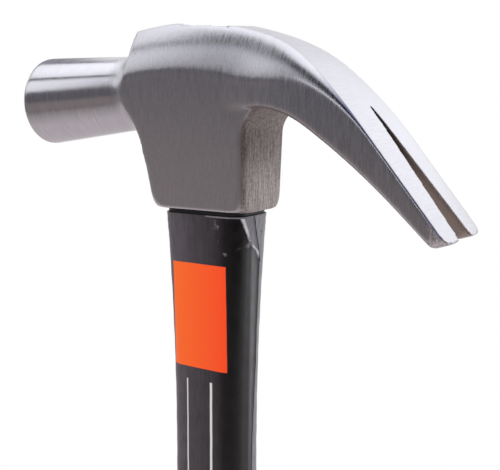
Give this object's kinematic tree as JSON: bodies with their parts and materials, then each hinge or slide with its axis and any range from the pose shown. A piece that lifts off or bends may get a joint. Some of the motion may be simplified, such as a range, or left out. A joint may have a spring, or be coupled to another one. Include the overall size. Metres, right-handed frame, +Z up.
{
  "type": "claw hammer",
  "caption": "Claw hammer: a forged steel head with a round striking poll and a curved, slotted nail claw, on a fibreglass-cored handle with a rubber grip.",
  "frame": {"origin": "centre of the flat butt end of the grip, on the handle's axis", "axes": "+Z up the handle to the head, +X towards the claw, Y across; the tool is a mirror image of itself in the plane y = 0"},
  "size_m": [0.1468, 0.029, 0.331],
  "materials": {
    "head_steel": "drop-forged, ground satin; fine grinding lines, coarser blasted collar back",
    "resin": "cast epoxy, dull",
    "fibreglass": "pultruded fibreglass, cut end",
    "jacket_plastic": "moulded black plastic, satin",
    "sleeve_film": "shrunk printed film, semi-gloss, black with a bare orange panel",
    "grip_rubber": "moulded black rubber, matt, ribbed"
  },
  "bodies": {
    "root": {"hammer_head": "head_steel", "resin_fill": "resin", "fibreglass_core": "fibreglass", "handle_jacket": "jacket_plastic", "label_sleeve": "sleeve_film", "rubber_grip": "grip_rubber"}
  },
  "joints": []
}
